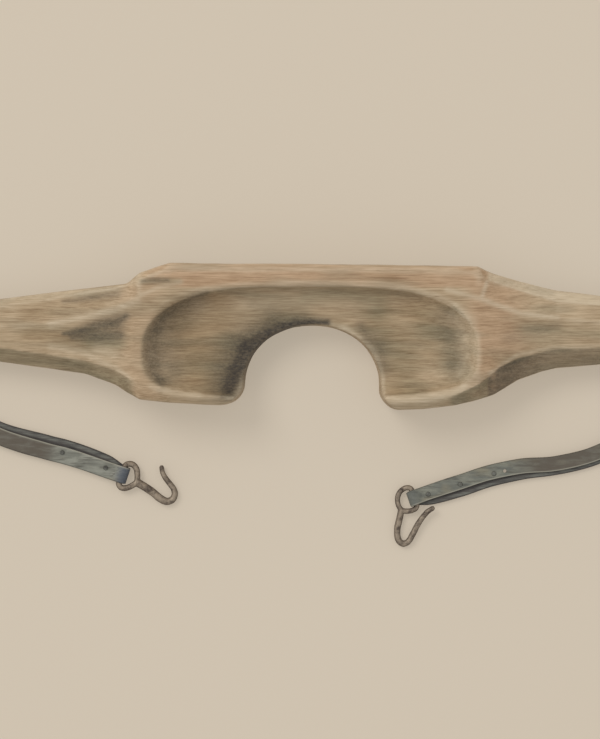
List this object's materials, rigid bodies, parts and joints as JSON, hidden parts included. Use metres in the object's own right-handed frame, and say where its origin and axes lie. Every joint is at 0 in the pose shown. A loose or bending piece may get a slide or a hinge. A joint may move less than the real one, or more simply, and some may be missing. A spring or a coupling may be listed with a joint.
{
  "type": "shoulder yoke",
  "caption": "Carved wooden shoulder yoke with a neck notch and shoulder hollows, and a doubled leather strap with a forged open hook looped round each arm's end.",
  "frame": {"origin": "on the beam's flat back, under the middle of the bridge behind the neck notch; the yoke lies on this back", "axes": "+X along the beam, to the right when looking into the hollows; +Y away from the neck notch's mouth; +Z out of the shoulder hollows"},
  "size_m": [0.914, 0.2997, 0.072],
  "materials": {
    "wood": "worn, oiled, hewn with an edge tool",
    "leather": "aged grey-green harness leather",
    "iron": "hand-forged, brown patina",
    "rivet_iron": "dark, hammered"
  },
  "bodies": {
    "beam": {"yoke_beam": "wood"},
    "left_strap": {"left_strap_loop": "leather", "left_strap_inner_ply": "leather", "left_rivet_1": "rivet_iron", "left_burr_1": "rivet_iron", "left_rivet_2": "rivet_iron", "left_burr_2": "rivet_iron"},
    "left_strap_end": {"left_strap_end": "leather", "left_rivet_3": "rivet_iron", "left_burr_3": "rivet_iron", "left_rivet_4": "rivet_iron", "left_burr_4": "rivet_iron"},
    "left_hook": {"left_hook": "iron"},
    "right_strap": {"right_strap_loop": "leather", "right_strap_inner_ply": "leather", "right_rivet_1": "rivet_iron", "right_burr_1": "rivet_iron", "right_rivet_2": "rivet_iron", "right_burr_2": "rivet_iron"},
    "right_strap_end": {"right_strap_end": "leather", "right_rivet_3": "rivet_iron", "right_burr_3": "rivet_iron", "right_rivet_4": "rivet_iron", "right_burr_4": "rivet_iron", "right_rivet_5": "rivet_iron", "right_burr_5": "rivet_iron"},
    "right_hook": {"right_hook": "iron"}
  },
  "joints": [
    {"name": "left_strap_swing", "type": "hinge", "parent": "beam", "child": "left_strap", "pos_m": [-0.4145, -0.036, 0.029], "axis": [-1, 0, 0], "range_deg": [0, 180]},
    {"name": "left_strap_flex", "type": "hinge", "parent": "left_strap", "child": "left_strap_end", "pos_m": [-0.33904, -0.14464, 0.0056], "axis": [0.4693, 0.8831, 0], "range_deg": [-60, 0]},
    {"name": "left_hook_swing", "type": "hinge", "parent": "left_strap_end", "child": "left_hook", "pos_m": [-0.202, -0.1888, 0.00695], "axis": [-0.3242, -0.946, 0], "range_deg": [0, 95]},
    {"name": "right_strap_swing", "type": "hinge", "parent": "beam", "child": "right_strap", "pos_m": [0.4145, -0.036, 0.029], "axis": [-1, 0, 0], "range_deg": [0, 180]},
    {"name": "right_strap_flex", "type": "hinge", "parent": "right_strap", "child": "right_strap_end", "pos_m": [0.31315, -0.16011, 0.0056], "axis": [0.4207, -0.9072, 0], "range_deg": [-60, 0]},
    {"name": "right_hook_swing", "type": "hinge", "parent": "right_strap_end", "child": "right_hook", "pos_m": [0.107, -0.2126, 0.00695], "axis": [-0.3267, 0.9451, 0], "range_deg": [0, 90]}
  ]
}
